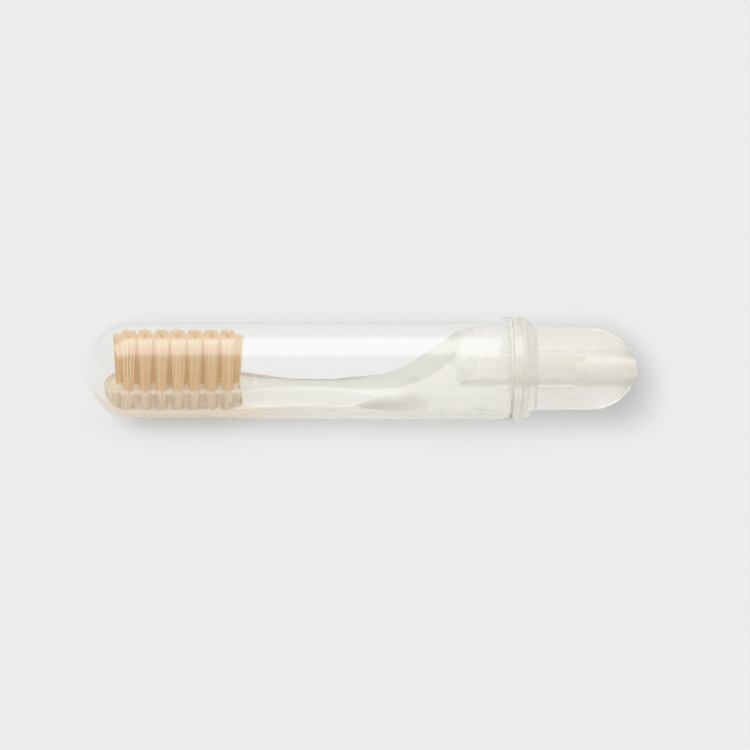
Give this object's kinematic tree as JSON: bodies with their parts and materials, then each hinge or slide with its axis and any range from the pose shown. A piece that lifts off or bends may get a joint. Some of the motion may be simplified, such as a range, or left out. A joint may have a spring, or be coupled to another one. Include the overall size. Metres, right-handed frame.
{
  "type": "travel toothbrush",
  "caption": "Straight clear plastic pocket toothbrush with natural bristle tufts, closed inside a clear push-on tube cap with a domed end.",
  "frame": {"origin": "centre of the flat end face of the tail", "axes": "+X along the brush from head to tail, +Z the way the bristles point, +Y across the rows"},
  "size_m": [0.1107, 0.021, 0.021],
  "materials": {
    "cap_clear": "clear, colourless, polished",
    "handle_clear": "clear, faintly yellow, soft gloss",
    "stopper_clear": "clear, faintly pink",
    "bristle": "natural tan bristle",
    "anchor_brass": "plain rolled strip"
  },
  "bodies": {
    "brush": {"handle": "handle_clear", "stopper": "stopper_clear", "tuft_front_1": "bristle", "tuft_front_2": "bristle", "tuft_front_3": "bristle", "tuft_front_4": "bristle", "tuft_front_5": "bristle", "tuft_front_6": "bristle", "tuft_front_7": "bristle", "tuft_middle_1": "bristle", "tuft_middle_2": "bristle", "tuft_middle_3": "bristle", "tuft_middle_4": "bristle", "tuft_middle_5": "bristle", "tuft_middle_6": "bristle", "tuft_middle_7": "bristle", "tuft_middle_8": "bristle", "tuft_rear_1": "bristle", "tuft_rear_2": "bristle", "tuft_rear_3": "bristle", "tuft_rear_4": "bristle", "tuft_rear_5": "bristle", "tuft_rear_6": "bristle", "tuft_rear_7": "bristle", "anchor_front_1": "anchor_brass", "anchor_front_2": "anchor_brass", "anchor_front_3": "anchor_brass", "anchor_front_4": "anchor_brass", "anchor_front_5": "anchor_brass", "anchor_front_6": "anchor_brass", "anchor_front_7": "anchor_brass", "anchor_middle_1": "anchor_brass", "anchor_middle_2": "anchor_brass", "anchor_middle_3": "anchor_brass", "anchor_middle_4": "anchor_brass", "anchor_middle_5": "anchor_brass", "anchor_middle_6": "anchor_brass", "anchor_middle_7": "anchor_brass", "anchor_middle_8": "anchor_brass", "anchor_rear_1": "anchor_brass", "anchor_rear_2": "anchor_brass", "anchor_rear_3": "anchor_brass", "anchor_rear_4": "anchor_brass", "anchor_rear_5": "anchor_brass", "anchor_rear_6": "anchor_brass", "anchor_rear_7": "anchor_brass"},
    "cap_body": {"cap": "cap_clear"}
  },
  "joints": [
    {"name": "cap_slide", "type": "slide", "parent": "brush", "child": "cap_body", "axis": [-1, 0, 0], "range_m": [0, 0.09]}
  ]
}
